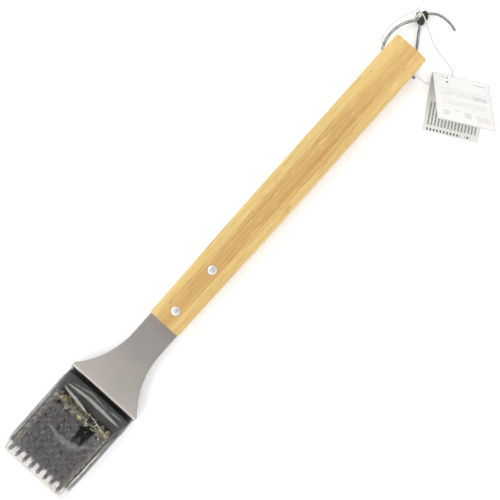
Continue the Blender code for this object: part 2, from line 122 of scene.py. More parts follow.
class Look:
    """A node material, with short calls for the nodes that the looks share."""

    def __init__(self, name, **constants):
        self.material = bpy.data.materials.new(name)
        self.material.use_nodes = True
        self.tree = self.material.node_tree
        self.shader = self.tree.nodes["Principled BSDF"]
        self.out = self.tree.nodes["Material Output"]
        for key, value in constants.items():
            self.feed(self.shader, {key.replace("_", " "): value})

    def feed(self, node, feeds):
        for key, value in feeds.items():
            socket = node.inputs[key]
            if isinstance(value, bpy.types.NodeSocket):
                self.tree.links.new(value, socket)
            elif isinstance(value, tuple) and len(value) == 3 and socket.type == "RGBA":
                socket.default_value = (*value, 1)
            else:
                socket.default_value = value

    def node(self, kind, feeds, **settings):
        made = self.tree.nodes.new("ShaderNode" + kind)
        for key, value in settings.items():
            setattr(made, key, value)
        self.feed(made, feeds)
        return made

    def place(self, scale=(1, 1, 1), shift=(0, 0, 0)):
        where = self.node("TexCoord", {}).outputs["Object"]
        return self.node("Mapping", {"Vector": where, "Scale": scale, "Location": shift}).outputs[0]

    def axes(self, vector=None):
        """X, Y and Z of the place on the object, or of vector."""
        return self.node("SeparateXYZ", {0: self.place() if vector is None else vector}).outputs

    def noise(self, scale, detail=4.0, rough=0.5, bend=0.0, shift=(0, 0, 0)):
        scale = scale if isinstance(scale, tuple) else (scale, scale, scale)
        feeds = {"Vector": self.place(scale, shift), "Scale": 1.0, "Detail": detail}
        feeds.update({"Roughness": rough, "Distortion": bend})
        return self.node("TexNoise", feeds).outputs["Fac"]

    def math(self, operation, a, b=0.0):
        return self.node("Math", {0: a, 1: b}, operation=operation).outputs[0]

    def times(self, a, b):
        return self.math("MULTIPLY", a, b)

    def ramp(self, factor, low, high, a=0.0, b=1.0):
        feeds = {"Value": factor, "From Min": low, "From Max": high, "To Min": a, "To Max": b}
        return self.node("MapRange", feeds, interpolation_type="SMOOTHSTEP").outputs["Result"]

    def mix(self, factor, a, b):
        return self.node("Mix", {0: factor, 6: a, 7: b}, data_type="RGBA").outputs[2]

    def bump(self, height, strength, depth):
        feeds = {"Height": height, "Strength": strength, "Distance": depth}
        self.feed(self.shader, {"Normal": self.node("Bump", feeds).outputs[0]})

    def colour(self, value):
        self.feed(self.shader, {"Base Color": value})

    def rough(self, factor, low, high):
        """Roughness from low to high, as factor goes from 0.3 to 0.7."""
        self.feed(self.shader, {"Roughness": self.ramp(factor, 0.3, 0.7, low, high)})


def wood_look():
    """Pale honey wood: fine soft streaks, a tan stripe along the middle, pores and a few dark flecks, and
    painted light that makes it paler toward the handle's end.
    """
    look = Look("wood_look", Specular_IOR_Level=0.3)
    streak = look.noise((5, 330, 330), detail=6, rough=0.62, bend=0.3)
    fine = look.noise((14, 900, 900), detail=3, rough=0.6)
    pore = look.noise((70, 1700, 1700), detail=2)
    grain = look.noise((55, 520, 520), detail=5, rough=0.72, shift=(0.7, 0, 0))
    patch = look.noise((9, 60, 60), detail=3)
    fleck = look.noise((150, 800, 800), detail=1, shift=(0.3, 0.1, 0))
    band = look.noise((2.5, 110, 110), detail=3, rough=0.55, bend=0.4)
    parts = look.axes()
    sway = look.times(look.math("SUBTRACT", look.noise((7, 4, 4), detail=1), 0.5), 0.012)
    feather = look.times(look.math("SUBTRACT", streak, 0.5), 0.03)
    offset = look.math("ADD", parts["Y"], look.math("ADD", sway, feather))
    stripe = look.ramp(look.math("ABSOLUTE", offset), 0.0095, 0.0025)
    upper = look.ramp(offset, 0.006, 0.014)
    pale, honey, tan, brown = srgb(199, 172, 112), srgb(190, 156, 94), srgb(176, 137, 80), srgb(134, 92, 52)
    tone = look.mix(look.ramp(streak, 0.3, 0.7), pale, honey)
    layers = (
        (look.times(upper, 0.6), srgb(200, 174, 114)),
        (look.times(stripe, look.ramp(streak, 0.25, 0.75, 0.5, 0.9)), tan),
        (look.ramp(band, 0.45, 0.62, 0.0, 0.32), tan),
        (look.ramp(band, 0.48, 0.34, 0.0, 0.4), srgb(208, 186, 118)),
        (look.ramp(patch, 0.5, 0.75, 0.0, 0.3), tan),
        (look.ramp(fine, 0.5, 0.75, 0.0, 0.28), brown),
        (look.ramp(pore, 0.62, 0.74, 0.0, 0.42), brown),
        # Painted light: a lighter tone toward the handle's end, where more light falls.
        (look.ramp(parts["X"], 0.13, 0.225, 0.0, 0.25), srgb(224, 188, 122)),
        (look.ramp(grain, 0.44, 0.3, 0.0, 0.6), srgb(222, 198, 136)),
        (look.ramp(grain, 0.54, 0.7, 0.0, 0.6), srgb(158, 116, 62)),
        (look.ramp(fleck, 0.76, 0.8, 0.0, 0.6), srgb(92, 60, 36)),
    )
    for share, colour in layers:
        tone = look.mix(share, tone, colour)
    look.colour(tone)
    look.rough(streak, 0.45, 0.6)
    look.bump(look.math("SUBTRACT", fine, look.ramp(pore, 0.6, 0.75)), 0.25, 0.00008)
    return look.material


def steel_look():
    """Satin steel with faint lengthwise rubbing and soft blotches, and a painted highlight that colours the
    scraper lip brighter.
    """
    look = Look("steel_look", Metallic=1.0)
    rub = look.noise((60, 2600, 2600), detail=3)
    blotch = look.noise(35, detail=3, rough=0.6)
    x = look.axes()["X"]
    tone = look.mix(blotch, srgb(170, 165, 160), srgb(176, 169, 164))
    # Painted highlight: the scraper lip is coloured brighter in place of the reflection that lights it.
    look.colour(look.mix(look.ramp(x, -0.2, -0.22), tone, srgb(186, 181, 178)))
    rough = look.math("ADD", look.ramp(blotch, 0.3, 0.7, 0.29, 0.31), look.ramp(rub, 0.35, 0.65, 0.0, 0.04))
    look.feed(look.shader, {"Roughness": rough})
    look.bump(rub, 0.12, 0.00004)
    return look.material


def aluminium_look():
    look = Look("aluminium_look", Metallic=0.9)
    haze = look.noise(420, detail=4, rough=0.65)
    look.colour(look.mix(look.ramp(haze, 0.35, 0.7), srgb(224, 222, 221), srgb(201, 199, 199)))
    look.rough(haze, 0.32, 0.5)
    look.bump(haze, 0.2, 0.00006)
    return look.material


def plastic_look():
    """Black plastic, faintly mottled, with painted near-black shade on the block's top among the tufts."""
    look = Look("plastic_look")
    mottle = look.noise(900, detail=3)
    wide = look.noise(40, detail=2)
    tone = look.mix(wide, srgb(38, 38, 40), srgb(56, 56, 58))
    parts = look.axes()
    # Painted shade: the block's top among the tufts is coloured near black and made less shiny, where the
    # tufts would shade it.
    painted_shade_among_tufts = look.ramp(look.math("ABSOLUTE", parts["Y"]), 0.0275, 0.0245)
    painted_shade_among_tufts = look.times(painted_shade_among_tufts, look.ramp(parts["X"], -0.1515, -0.1545))
    painted_shade_among_tufts = look.times(painted_shade_among_tufts, look.ramp(parts["Z"], 0.0128, 0.0134))
    look.colour(look.mix(painted_shade_among_tufts, tone, srgb(8, 8, 8)))
    look.feed(look.shader, {"Specular IOR Level": look.ramp(painted_shade_among_tufts, 0, 1, 0.5, 0.05)})
    look.rough(mottle, 0.32, 0.48)
    look.bump(mottle, 0.15, 0.00008)
    return look.material


def brass_look():
    """Brass-plated wire: grey over most of the field, golden along its rear and side rims."""
    look = Look("brass_look", Metallic=0.7)
    tone = look.noise((700, 700, 120), detail=3)
    speck = look.noise(420, detail=2, shift=(0.2, 0, 0))
    parts = look.axes()
    side = look.ramp(look.math("ABSOLUTE", parts["Y"]), 0.0243, 0.0263)
    rear = look.ramp(parts["X"], -0.1585, -0.1545)
    rim = look.math("MAXIMUM", look.times(side, 0.7), rear)
    grey = look.mix(look.ramp(tone, 0.35, 0.65), srgb(150, 145, 149), srgb(240, 235, 240))
    gold = look.mix(look.ramp(tone, 0.4, 0.6), srgb(104, 88, 40), srgb(246, 228, 136))
    patchy = look.times(rim, look.ramp(speck, 0.42, 0.56, 0.1, 1.0))
    share = look.math("MAXIMUM", patchy, look.ramp(speck, 0.6, 0.66, 0.0, 0.85))
    look.colour(look.mix(share, grey, gold))
    look.rough(tone, 0.3, 0.5)
    return look.material


def film_look():
    """Clear film, glossy at a slant and on its walls, milky with painted highlights along its folds and
    rims, and tinted darker as painted shade along its creases and rims.
    """
    look = Look("film_look")
    # Painted highlight: a milky white laid over the film along its folds and rims.
    milk_and_highlight = look.node("Attribute", {}, attribute_name="milk_and_highlight").outputs["Fac"]
    wrinkle = look.noise(170, detail=5, rough=0.55, bend=0.6)
    bump = look.node("Bump", {"Height": wrinkle, "Strength": 0.35, "Distance": 0.0006}).outputs[0]
    haze = look.node("BsdfDiffuse", {"Color": (0.66, 0.67, 0.62), "Normal": bump}).outputs[0]
    gloss = look.node("BsdfGlossy", {"Color": (1, 1, 1), "Roughness": 0.12, "Normal": bump}).outputs[0]
    facing = look.node("LayerWeight", {"Blend": 0.5, "Normal": bump}).outputs["Facing"]
    # Painted shade: the film's clear tint is made darker along creases and rims.
    crease_shade = look.node("Attribute", {}, attribute_name="crease_shade").outputs["Fac"]
    darker = look.math("MAXIMUM", look.math("POWER", facing, 5.0), crease_shade)
    tint = look.mix(darker, (0.94, 0.95, 0.95), (0.4, 0.42, 0.41))
    clear = look.node("BsdfTransparent", {"Color": tint}).outputs[0]
    haze_and_highlight = look.math("ADD", look.times(milk_and_highlight, 0.42), 0.006)
    body = look.node("MixShader", {0: haze_and_highlight, 1: clear, 2: haze}).outputs[0]
    upright = look.axes(look.node("NewGeometry", {}).outputs["Normal"])["Z"]
    wall = look.ramp(look.math("ABSOLUTE", upright), 0.5, 0.2, 0.01, 0.045)
    slant = look.math("ADD", look.times(look.math("POWER", facing, 9.0), 0.8), wall)
    shine = look.node("MixShader", {0: slant, 1: body, 2: gloss}).outputs[0]
    look.tree.links.new(shine, look.out.inputs["Surface"])
    look.tree.nodes.remove(look.shader)
    return look.material


def leather_look():
    """Dark leather strap, with a painted grey highlight along its broad upper face, where it reflects the
    bright room.
    """
    look = Look("leather_look", Coat_Weight=0.25, Coat_Roughness=0.3)
    grain = look.noise(1500, detail=3, rough=0.6)
    highlight_noise = look.noise(160, detail=3)
    up = look.axes(look.node("NewGeometry", {}).outputs["Normal"])["Z"]
    # Painted highlight: faces that look upward are coloured grey in place of the reflection of the bright
    # room.
    painted_highlight = look.mix(look.ramp(highlight_noise, 0.35, 0.7), srgb(134, 135, 128), srgb(170, 171, 163))
    look.colour(look.mix(look.ramp(up, 0.66, 0.95), srgb(70, 69, 65), painted_highlight))
    look.rough(grain, 0.3, 0.45)
    look.bump(grain, 0.3, 0.00012)
    return look.material


def knot_look():
    """The same leather where it is drawn tight: black, with painted pale highlights on the side away from
    the tag.
    """
    look = Look("knot_look", Coat_Weight=0.4, Coat_Roughness=0.15, Specular_IOR_Level=0.25)
    grain = look.noise(900, detail=4, rough=0.6)
    highlight_noise = look.noise(420, detail=2)
    parts = look.axes()
    # Painted highlights: pale patches on the knot's front and far side.
    front, far = look.ramp(parts["X"], 0.2568, 0.2556), look.ramp(parts["Y"], 0.0102, 0.0118)
    painted_highlight = look.times(look.times(front, far), look.ramp(highlight_noise, 0.34, 0.5))
    look.colour(look.mix(painted_highlight, srgb(26, 25, 23), srgb(190, 190, 178)))
    look.rough(grain, 0.25, 0.45)
    look.bump(grain, 0.5, 0.0003)
    return look.material


def thread_look():
    look = Look("thread_look", Sheen_Weight=0.3)
    fibre = look.noise(2500, detail=3, rough=0.7)
    look.colour(look.mix(fibre, srgb(190, 190, 191), srgb(206, 206, 207)))
    look.rough(fibre, 0.7, 0.9)
    look.bump(fibre, 0.4, 0.0001)
    return look.material


class CardLook(Look):
    """White card. Print is drawn from the leaf's own u, along the fold, and v, down the leaf."""

    def __init__(self, name):
        super().__init__(name, Roughness=0.62)
        self.u, self.v, _ = self.axes(self.node("UVMap", {}, uv_map="leaf").outputs[0])
        fibre = self.noise(1800, detail=4, rough=0.7)
        self.tone = self.mix(fibre, srgb(210, 210, 207), srgb(218, 218, 215))
        self.bump(fibre, 0.12, 0.00005)

    def within(self, value, low, high):
        above = self.math("GREATER_THAN", value, low)
        return self.times(above, self.math("LESS_THAN", value, high))

    def box(self, u0, u1, v0, v1):
        return self.times(self.within(self.u, u0, u1), self.within(self.v, v0, v1))

    def bars(self, value, count, share):
        """1 on bars that repeat count times from 0 to 1, each filling that share of its pitch."""
        return self.math("LESS_THAN", self.math("FRACT", self.times(value, count)), share)

    def broken(self, across, along, share):
        """1 on a random share of the cells of a grid, which breaks bars into dashes."""
        column = self.math("FLOOR", self.times(self.u, across))
        line = self.math("FLOOR", self.times(self.v, along))
        cell = self.node("CombineXYZ", {0: column, 1: line}).outputs[0]
        white = self.node("TexWhiteNoise", {"Vector": cell}, noise_dimensions="3D").outputs["Value"]
        return self.math("LESS_THAN", white, share)

    def spot(self, u, v, outer, inner=-1.0):
        """A dot at u, v, or a ring where inner is given."""
        du, dv = self.math("SUBTRACT", self.u, u), self.math("SUBTRACT", self.v, v)
        square = self.math("ADD", self.times(du, du), self.times(dv, dv))
        return self.within(self.math("SQRT", square), inner, outer)

    def ink(self, ink, colour, *masks):
        """Prints colour where every mask is 1."""
        whole = masks[0]
        for mask in masks[1:]:
            whole = self.times(whole, mask)
        self.tone = self.mix(self.times(whole, ink), self.tone, colour)

    def done(self):
        self.colour(self.tone)
        return self.material


def back_card_look():
    """Columns of fine dark bars down the leaf and a row of dots below, on card shaded near its fold."""
    look = CardLook("back_card_look")
    shade = look.ramp(look.v, 0.0, 1.0, 0.75, 0.0)
    look.tone = look.mix(shade, look.tone, srgb(150, 149, 138))
    columns = look.bars(look.u, 16.6, 0.5)
    dark = srgb(78, 78, 58)
    look.ink(0.92, dark, look.box(0.03, 0.93, 0.49, 0.885), columns, look.bars(look.v, 36, 0.74))
    look.ink(0.95, srgb(52, 52, 44), look.box(0.04, 0.67, 0.936, 0.975), columns)
    look.ink(0.95, srgb(52, 52, 44), look.box(0.745, 0.85, 0.936, 0.975), columns)
    return look.done()


def front_card_look():
    """A grey outline and a pale line just inside one edge, both painted shade at the card's edges; faint
    dashes and bars, a few small marks and a ring, which spell nothing.
    """
    look = CardLook("front_card_look")
    line, pale, grey = srgb(176, 176, 178), srgb(196, 194, 195), srgb(164, 163, 166)
    rose, dark = srgb(196, 176, 178), srgb(96, 96, 98)
    inside = look.box(0.008, 0.985, 0.008, 0.988)
    # Painted shade: a grey line round the leaf's edges.
    look.ink(0.9, line, look.math("SUBTRACT", 1.0, inside))
    # Painted shade: a second pale line just inside the leaf's edge.
    look.ink(0.7, pale, look.box(0.95, 0.958, 0.06, 0.97))
    look.ink(0.55, pale, look.box(0.1, 0.93, 0.3, 0.335))
    dashes = look.times(look.bars(look.v, 34, 0.5), look.broken(17, 34, 0.8))
    look.ink(1.0, pale, look.box(0.12, 0.92, 0.36, 0.47), dashes)
    look.ink(0.7, grey, look.box(0.66, 0.92, 0.37, 0.46), look.bars(look.u, 40, 0.55))
    dashes = look.times(look.bars(look.v, 30, 0.5), look.broken(13, 30, 0.75))
    look.ink(0.9, pale, look.box(0.12, 0.9, 0.54, 0.66), dashes)
    look.ink(0.8, line, look.box(0.12, 0.9, 0.7, 0.705))
    look.ink(0.9, dark, look.box(0.17, 0.31, 0.055, 0.09), look.bars(look.u, 13, 0.4))
    look.ink(0.8, dark, look.spot(0.24, 0.17, 0.024))
    look.ink(0.75, grey, look.spot(0.17, 0.83, 0.05, 0.034))
    look.ink(0.6, grey, look.box(0.155, 0.185, 0.815, 0.845))
    look.ink(0.8, grey, look.box(0.34, 0.4, 0.76, 0.775))
    look.ink(0.75, dark, look.box(0.72, 0.93, 0.1, 0.112))
    look.ink(0.75, grey, look.box(0.48, 0.6, 0.76, 0.87), look.bars(look.u, 36, 0.5))
    look.ink(0.8, rose, look.box(0.69, 0.92, 0.77, 0.9), look.bars(look.u, 30, 0.5))
    return look.done()


def floor_look():
    look = Look("floor_look", Specular_IOR_Level=0.2, Emission_Color=(1, 1, 1), Emission_Strength=0.04)
    tooth = look.noise(60, detail=3)
    look.colour(look.mix(tooth, srgb(251, 251, 252), srgb(254, 254, 254)))
    look.rough(tooth, 0.75, 0.85)
    return look.material


# ---- mesh code


def add_piece(name, mesh, look, smooth=35):
    """An object of mesh, smooth but for edges sharper than smooth degrees."""
    mesh.shade_smooth()
    mesh.set_sharp_from_angle(angle=math.radians(smooth))
    mesh.materials.clear()
    mesh.materials.append(look)
    return in_scene(name, mesh)


def mesh_of(name, points, faces):
    mesh = bpy.data.meshes.new(name)
    mesh.from_pydata([tuple(p) for p in points], [], [tuple(int(i) for i in f) for f in faces])
    mesh.validate()
    return mesh


def turned_outward(mesh):
    bm = bmesh.new()
    bm.from_mesh(mesh)
    bmesh.ops.recalc_face_normals(bm, faces=bm.faces)
    bm.to_mesh(mesh)
    bm.free()
    return mesh


def loft(name, rings, caps=True):
    """A mesh through rings of equal length, each a closed loop of points."""
    size = len(rings[0])
    points = [p for ring in rings for p in ring]
    faces = []
    for k in range(len(rings) - 1):
        for i in range(size):
            j = (i + 1) % size
            faces.append((k * size + i, k * size + j, (k + 1) * size + j, (k + 1) * size + i))
    if caps:
        faces.append(tuple(range(size)))
        faces.append(tuple(range(len(points) - size, len(points))))
    return turned_outward(mesh_of(name, points, faces))


def turned(name, profile, segments=48, place=(0, 0, 0)):
    """A solid of revolution about Z through profile's (radius, height) points."""
    angles = [2 * math.pi * i / segments for i in range(segments)]
    rings = [
        [(place[0] + r * math.cos(a), place[1] + r * math.sin(a), place[2] + z) for a in angles]
        for r, z in profile
    ]
    return loft(name, rings)


def box_mesh(name, low, high):
    size = [b - a for a, b in zip(low, high)]
    middle = [(a + b) / 2 for a, b in zip(low, high)]
    bm = bmesh.new()
    bmesh.ops.create_cube(bm, size=1, matrix=Matrix.Translation(middle) @ Matrix.Diagonal((*size, 1)))
    mesh = bpy.data.meshes.new(name)
    bm.to_mesh(mesh)
    bm.free()
    return mesh


def joined(meshes):
    """One mesh of several."""
    bm = bmesh.new()
    for mesh in meshes:
        bm.from_mesh(mesh)
    made = bpy.data.meshes.new(meshes[0].name)
    bm.to_mesh(made)
    bm.free()
    return made


def modified(mesh, *steps):
    """mesh after modifiers, each a (kind, settings) pair."""
    holder = in_scene("holder", mesh)
    helpers = [holder]
    for kind, settings in steps:
        step = holder.modifiers.new(kind, kind)
        for key, value in settings.items():
            if key == "tool":
                tool = in_scene("tool", value)
                helpers.append(tool)
                key, value = "object", tool
            setattr(step, key, value)
    bpy.context.view_layer.update()
    graph = bpy.context.evaluated_depsgraph_get()
    made = bpy.data.meshes.new_from_object(holder.evaluated_get(graph))
    for helper in helpers:
        bpy.data.objects.remove(helper, do_unlink=True)
    return made


def minus(tool):
    return ("BOOLEAN", {"operation": "DIFFERENCE", "solver": "EXACT", "tool": tool})


def quarter(count):
    """1 - cos and 1 - sin at count angles over a quarter turn, which round a corner."""
    return [(1 - math.cos(a), 1 - math.sin(a)) for a in np.linspace(0, math.pi / 2, count)]


# ---- cords

LACE_LEFT_ROUTE = [
    (213.25, 0.2, 12.0), (213.25, 8.0, 12.0), (213.25, 13.8, 12.0), (213.5, 16.2, 11.9),
    (215.3, 17.7, 11.6), (218.6, 18.7, 11.2), (227.4, 20.2, 9.2), (236.9, 19.2, 6.8),
    (244.3, 16.6, 5.4), (250.6, 12.4, 4.6), (253.2, 11.0, 4.5),
]
LACE_RIGHT_ROUTE = [
    (213.25, -0.2, 12.0), (213.25, -8.0, 12.0), (213.25, -14.0, 12.0), (213.3, -16.4, 11.3),
    (213.8, -17.4, 9.2), (214.8, -17.3, 6.4), (215.9, -16.9, 4.2), (217.4, -15.8, 2.4),
    (220.2, -13.6, 1.75), (224.6, -10.6, 1.7), (229.6, -7.4, 1.7), (235.9, -3.2, 1.75),
    (240.2, -0.2, 1.9), (245.2, 3.6, 2.4), (249.8, 6.6, 3.2), (252.6, 8.0, 3.7),
]
LACE_TAIL_ROUTE = [
    (258.6, 9.6, 4.3), (261.6, 8.2, 4.0), (264.4, 5.6, 3.4), (266.8, 2.4, 2.8),
    (268.2, -1.2, 2.2), (268.9, -5.2, 1.9), (268.8, -10.0, 1.7), (267.9, -14.0, 1.6),
    (267.0, -17.0, 1.6),
]
STRING_LEFT_ROUTE = [
    (213.25, 0.2, 14.5), (213.25, 8.0, 14.5), (213.3, 15.2, 14.5), (214.4, 18.4, 14.4),
    (218.0, 21.4, 13.4), (224.6, 23.4, 11.6), (230.8, 24.4, 9.8), (236.2, 24.0, 8.8),
    (244.3, 21.9, 8.4), (250.4, 19.4, 8.0), (254.8, 17.6, 7.4), (257.6, 17.0, 6.9),
    (260.4, 17.2, 6.4), (265.4, 17.9, 5.2), (270.0, 18.6, 4.2),
]
STRING_RIGHT_ROUTE = [
    (213.25, -0.2, 14.5), (213.25, -8.0, 14.5), (213.3, -15.6, 14.5), (214.4, -18.2, 13.6),
    (216.5, -22.2, 9.0), (218.6, -26.8, 4.2), (221.2, -30.6, 2.9), (226.1, -35.6, 3.0),
    (231.0, -41.0, 2.8), (232.4, -42.3, 2.0), (232.8, -42.6, 1.0), (234.6, -41.8, 0.6),
    (239.2, -39.4, 0.6), (242.8, -34.0, 0.6), (244.6, -25.6, 0.6), (246.2, -16.4, 0.6),
    (249.0, -8.8, 0.75), (251.6, -3.4, 1.4), (253.0, 0.4, 3.0), (253.7, 3.0, 5.8),
    (254.3, 5.8, 8.1), (255.4, 9.4, 9.4), (256.6, 13.0, 8.6), (257.5, 15.2, 6.4),
]
LACE_DIAMETER = 2.7 * MM
STRING_DIAMETER = 1.05 * MM
STRING_LAY = 2.6 * MM  # the length of one twist
KNOT_AXIS = Vector((0.945, -0.327, 0))
KNOT_BROAD, KNOT_NARROW = Vector((254.1, 10.5, 0)) * MM, Vector((258.5, 9.1, 0)) * MM
KNOT_TURN_POINTS = 56


def smooth_line(route, spacing):
    """Points about spacing apart on a smooth curve through route, by Catmull-Rom."""
    knots = [Vector(point) * MM for point in route]
    knots = [2 * knots[0] - knots[1]] + knots + [2 * knots[-1] - knots[-2]]
    fine = []
    for p0, p1, p2, p3 in zip(knots, knots[1:], knots[2:], knots[3:]):
        for step in range(20):
            t = step / 20
            a = 2 * p1 + (p2 - p0) * t
            b = (2 * p0 - 5 * p1 + 4 * p2 - p3) * t * t
            c = (3 * p1 - p0 - 3 * p2 + p3) * t**3
            fine.append((a + b + c) / 2)
    fine.append(knots[-2])
    kept = [fine[0]]
    for point in fine[1:-1]:
        if (point - kept[-1]).length >= spacing:
            kept.append(point)
    if (fine[-1] - kept[-1]).length < spacing / 2:
        kept.pop()
    return kept + [fine[-1]]


def tube_rings(points, section, closed=False):
    """Rings round a line: section(share, along) gives (across, up) offsets at that length along it."""
    count = len(points)
    rings, along, across = [], 0.0, None
    for k, point in enumerate(points):
        before = points[k - 1] if k or closed else point
        after = points[(k + 1) % count] if k < count - 1 or closed else point
        forward = (after - before).normalized()
        if across is None:
            across = forward.cross(Vector((0, 0, 1)))
            if across.length < 0.1:
                across = Vector((1, 0, 0))
        across = (across - forward * across.dot(forward)).normalized()
        up = across.cross(forward)
        if k:
            along += (point - points[k - 1]).length
        rings.append([point + across * a + up * b for a, b in section(k / max(1, count - 1), along)])
    return rings


def strap(width, thickness, end_share=1.0):
    """The section of a flat strap with rounded edges, pinched here and there and tapering to end_share."""

    def section(share, along):
        pinch = 1 + 0.05 * math.sin(along * 520) + 0.04 * math.sin(along * 1270 + 1)
        taper = 1 + (end_share - 1) * share
        half_width, half_height = width / 2 * pinch * taper, thickness / 2 / pinch
        ring = []
        for i in range(16):
            a = 2 * math.pi * i / 16
            c, s = math.cos(a), math.sin(a)
            across = half_width * math.copysign(abs(c) ** 0.7, c)
            ring.append((across, half_height * math.copysign(abs(s) ** 0.8, s)))
        return ring

    return section


def string_section(share, along):
    """Three twisted plies."""
    twist = along * 2 * math.pi / STRING_LAY
    ring = []
    for i in range(12):
        a = 2 * math.pi * i / 12
        r = STRING_DIAMETER / 2 * (0.9 + 0.12 * math.cos(3 * (a - twist)))
        ring.append((r * math.cos(a), r * math.sin(a)))
    return ring


def knot_wrap(name, centre, across, up, section):
    """One turn of the strap round the knot's axis, across and up from centre, a little aslant."""
    side = Vector((-KNOT_AXIS.y, KNOT_AXIS.x, 0))
    points = []
    for k in range(KNOT_TURN_POINTS):
        t = 2 * math.pi * k / KNOT_TURN_POINTS
        round_axis = side * (across * math.cos(t)) + Vector((0, 0, up * math.sin(t)))
        points.append(centre + round_axis + KNOT_AXIS * (0.7 * MM * math.sin(t + 0.6)))
    rings = tube_rings(points, section, closed=True)
    mesh = loft(name, rings + [rings[0]], caps=False)
    return modified(mesh, ("WELD", {"merge_threshold": 0.00002}))


def make_knot(look):
    """The lace's knot, drawn tight: a broad turn of the strap, a narrower one beside it and a core."""
    low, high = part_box("lace_knot")
    middle = Vector((0, 0, (low.z + high.z) / 2 + 0.3 * MM))
    broad, narrow = KNOT_BROAD + middle, KNOT_NARROW + middle
    turns = [
        knot_wrap("broad", broad, 3.5 * MM, 2.25 * MM, strap(4.4 * MM, 3.2 * MM)),
        knot_wrap("narrow", narrow, 2.1 * MM, 1.9 * MM, strap(3.4 * MM, 2.7 * MM)),
        knot_wrap("core", (broad + narrow) / 2, 1.1 * MM, 1.0 * MM, strap(6.0 * MM, 2.4 * MM)),
    ]
    mesh = turned_outward(joined(turns))
    mesh.name = "lace_knot_turns"
    piece = add_piece("lace_knot_turns", mesh, look, 60)
    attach(piece, "hang_loop")
    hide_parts("lace_knot")
    return piece


def make_cords(leather, tight_leather, thread):
    """Lace and string, each a tube along its route that stands for its CAD node, and the knot."""
    knot = make_knot(tight_leather)
    lace = ("_strand", LACE_DIAMETER, 0.8 * MM, leather, "lace_leather")
    string = ("_run", STRING_DIAMETER, 0.4 * MM, thread, "string_thread")
    cords = (
        (lace, "lace_left", LACE_LEFT_ROUTE, strap(2.5 * MM, 1.8 * MM), "knot", [knot]),
        (lace, "lace_right", LACE_RIGHT_ROUTE, strap(2.3 * MM, 1.6 * MM), "knot", []),
        (lace, "lace_tail", LACE_TAIL_ROUTE, strap(2.4 * MM, 1.9 * MM, 0.62), "bare", []),
        (string, "string_left", STRING_LEFT_ROUTE, string_section, "bare", []),
        (string, "string_right", STRING_RIGHT_ROUTE, string_section, "knot", []),
    )
    for kind, node, route, section, end, others in cords:
        ending, diameter, spacing, look, slot_name = kind
        points = smooth_line(route, spacing)
        piece = add_piece(node + ending, loft(node + ending, tube_rings(points, section)), look, 60)
        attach(piece, "hang_loop")
        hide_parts(node)


# ---- handle and rivets

HANDLE_FRONT_X, HANDLE_END_X = -62 * MM, 227 * MM
HANDLE_MID_Z = 12.6 * MM
HANDLE_HALF_THICKNESS = 9 * MM
HANDLE_EDGE_RADIUS = 3 * MM
HANDLE_END_RADIUS = 1.3 * MM
# Shares of the handle's length from its front, and the half widths there in millimetres
HANDLE_HALF_WIDTHS = (
    [0, 0.1, 0.2, 0.3, 0.45, 0.8, 0.93, 1],
    [14.4, 14.6, 14.9, 15.35, 15.6, 15.65, 15.6, 15.15],
)
RIVETS = {"handle_rivet_front": -48.2 * MM, "handle_rivet_rear": -5.6 * MM}
BLOCK_RIVETS = ("block_rivet_front", "block_rivet_rear")
RIVET_RECESS = 3.95 * MM
KERF_START, KERF_END = (-70 * MM, -20 * MM), (11.9 * MM, 20 * MM)  # x and y
KERF_HALF = 1.0 * MM
HANG_HOLE_X = 213.25 * MM
# Radius and place across the handle, in millimetres, of the hole with its eased rims
HANG_HOLE = [(4.2, -25), (4.2, -16.9), (3.2, -15.9), (3.2, 15.9), (4.2, 16.9), (4.2, 25)]


def rounded_section(x, half_width, half_height, radius):
    points = []
    for corner in range(4):
        cy = (half_width - radius) * (1 if corner in (0, 3) else -1)
        cz = HANDLE_MID_Z + (half_height - radius) * (1 if corner in (0, 1) else -1)
        for step in range(9):
            a = corner * math.pi / 2 + step * math.pi / 16
            points.append((x, cy + radius * math.cos(a), cz + radius * math.sin(a)))
    return points


def make_handle(look):
    """Eased edges and ends, less the kerf, the rivets' recesses and the hang hole."""
    length = HANDLE_END_X - HANDLE_FRONT_X
    rounded = [(HANDLE_END_RADIUS * c, HANDLE_END_RADIUS * s) for c, s in quarter(6)]
    stations = rounded + [(length * k / 48, 0.0) for k in range(1, 48)]
    stations += [(length - along, inset) for along, inset in reversed(rounded)]
    rings = []
    for along, inset in stations:
        half_width = np.interp(along / length, *HANDLE_HALF_WIDTHS) * MM - inset
        half_height = HANDLE_HALF_THICKNESS - inset
        radius = HANDLE_EDGE_RADIUS - inset
        rings.append(rounded_section(HANDLE_FRONT_X + along, half_width, half_height, radius))
    kerf_low, kerf_high = (*KERF_START, HANDLE_MID_Z - KERF_HALF), (*KERF_END, HANDLE_MID_Z + KERF_HALF)
    tools = [box_mesh("kerf", kerf_low, kerf_high)]
    for x in RIVETS.values():
        for low, high in ((0.0, 4.2), (21.0, 25.0)):
            profile = [(RIVET_RECESS, low * MM), (RIVET_RECESS, high * MM)]
            tools.append(turned("recess", profile, 40, (x, 0, 0)))
    hole = turned("hole", HANG_HOLE, 40)
    hole.transform(Matrix.Diagonal((MM, MM, MM, 1)))
    hole.transform(Matrix.Translation((HANG_HOLE_X, 0, HANDLE_MID_Z)) @ Matrix.Rotation(math.pi / 2, 4, "X"))
    tools.append(hole)
    mesh = modified(loft("handle_wood", rings), *(minus(tool) for tool in tools))
    piece = add_piece("handle_wood", mesh, look, 32)
    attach(piece, "brush")
    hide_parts("handle")


